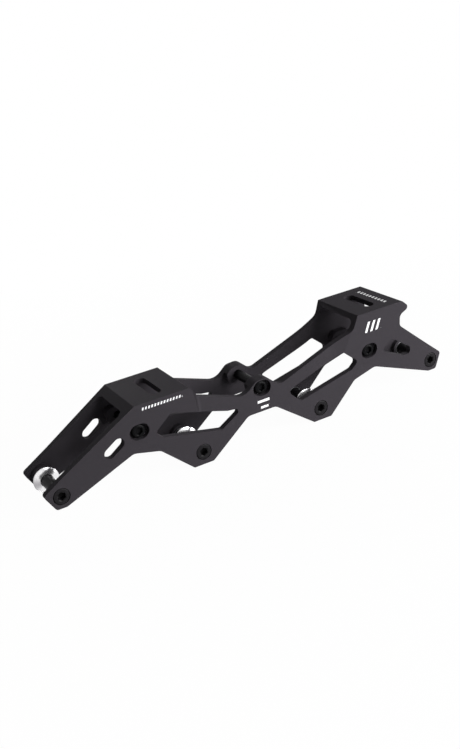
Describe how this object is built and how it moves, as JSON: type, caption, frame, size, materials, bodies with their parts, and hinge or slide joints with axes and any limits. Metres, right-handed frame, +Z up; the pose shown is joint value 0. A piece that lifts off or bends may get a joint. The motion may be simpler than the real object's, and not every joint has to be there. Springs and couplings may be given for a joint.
{
  "type": "inline skate frame",
  "caption": "Inline skate frame: a black channel with windowed side walls, front and rear mounting decks, cross bolts, wheel axles and loose spacer rings.",
  "frame": {"origin": "on the ground under the middle of the wheelbase, level with the feet of the two middle lobes", "axes": "+X from toe to heel, +Y from the axle heads to the axle tips, +Z up"},
  "size_m": [0.3017, 0.0464, 0.0666],
  "materials": {
    "frame_black": "satin black anodised",
    "screw_black": "black oxide",
    "axle_black": "black oxide",
    "insert_steel": "bright zinc",
    "ring_bright": "bright turned"
  },
  "bodies": {
    "frame": {"frame_body": "frame_black", "bolt_front": "screw_black", "bolt_centre": "screw_black", "bolt_rear": "screw_black", "nut_front": "screw_black", "nut_centre": "screw_black", "nut_rear": "screw_black", "insert_front": "insert_steel", "insert_second": "insert_steel", "insert_third": "insert_steel", "insert_rear": "insert_steel"},
    "axle_front": {"axle_front": "axle_black"},
    "axle_second": {"axle_second": "axle_black"},
    "axle_third": {"axle_third": "axle_black"},
    "axle_rear": {"axle_rear": "axle_black"},
    "spacer_front": {"spacer_front": "ring_bright"},
    "spacer_second": {"spacer_second": "ring_bright"},
    "spacer_third": {"spacer_third": "ring_bright"},
    "spacer_rear": {"spacer_rear": "ring_bright"}
  },
  "joints": [
    {"name": "axle_front_draw", "type": "slide", "parent": "frame", "child": "axle_front", "axis": [0, -1, 0], "range_m": [0, 0.04]},
    {"name": "axle_second_draw", "type": "slide", "parent": "frame", "child": "axle_second", "axis": [0, -1, 0], "range_m": [0, 0.04]},
    {"name": "axle_third_draw", "type": "slide", "parent": "frame", "child": "axle_third", "axis": [0, -1, 0], "range_m": [0, 0.04]},
    {"name": "axle_rear_draw", "type": "slide", "parent": "frame", "child": "axle_rear", "axis": [0, -1, 0], "range_m": [0, 0.04]},
    {"name": "spacer_front_slide", "type": "slide", "parent": "frame", "child": "spacer_front", "axis": [0, -1, 0], "range_m": [-0.0037, 0.0168]},
    {"name": "spacer_second_slide", "type": "slide", "parent": "frame", "child": "spacer_second", "axis": [0, -1, 0], "range_m": [-0.0052, 0.0153]},
    {"name": "spacer_third_slide", "type": "slide", "parent": "frame", "child": "spacer_third", "axis": [0, -1, 0], "range_m": [-0.0127, 0.0078]},
    {"name": "spacer_rear_slide", "type": "slide", "parent": "frame", "child": "spacer_rear", "axis": [0, -1, 0], "range_m": [-0.0177, 0.0028]}
  ]
}
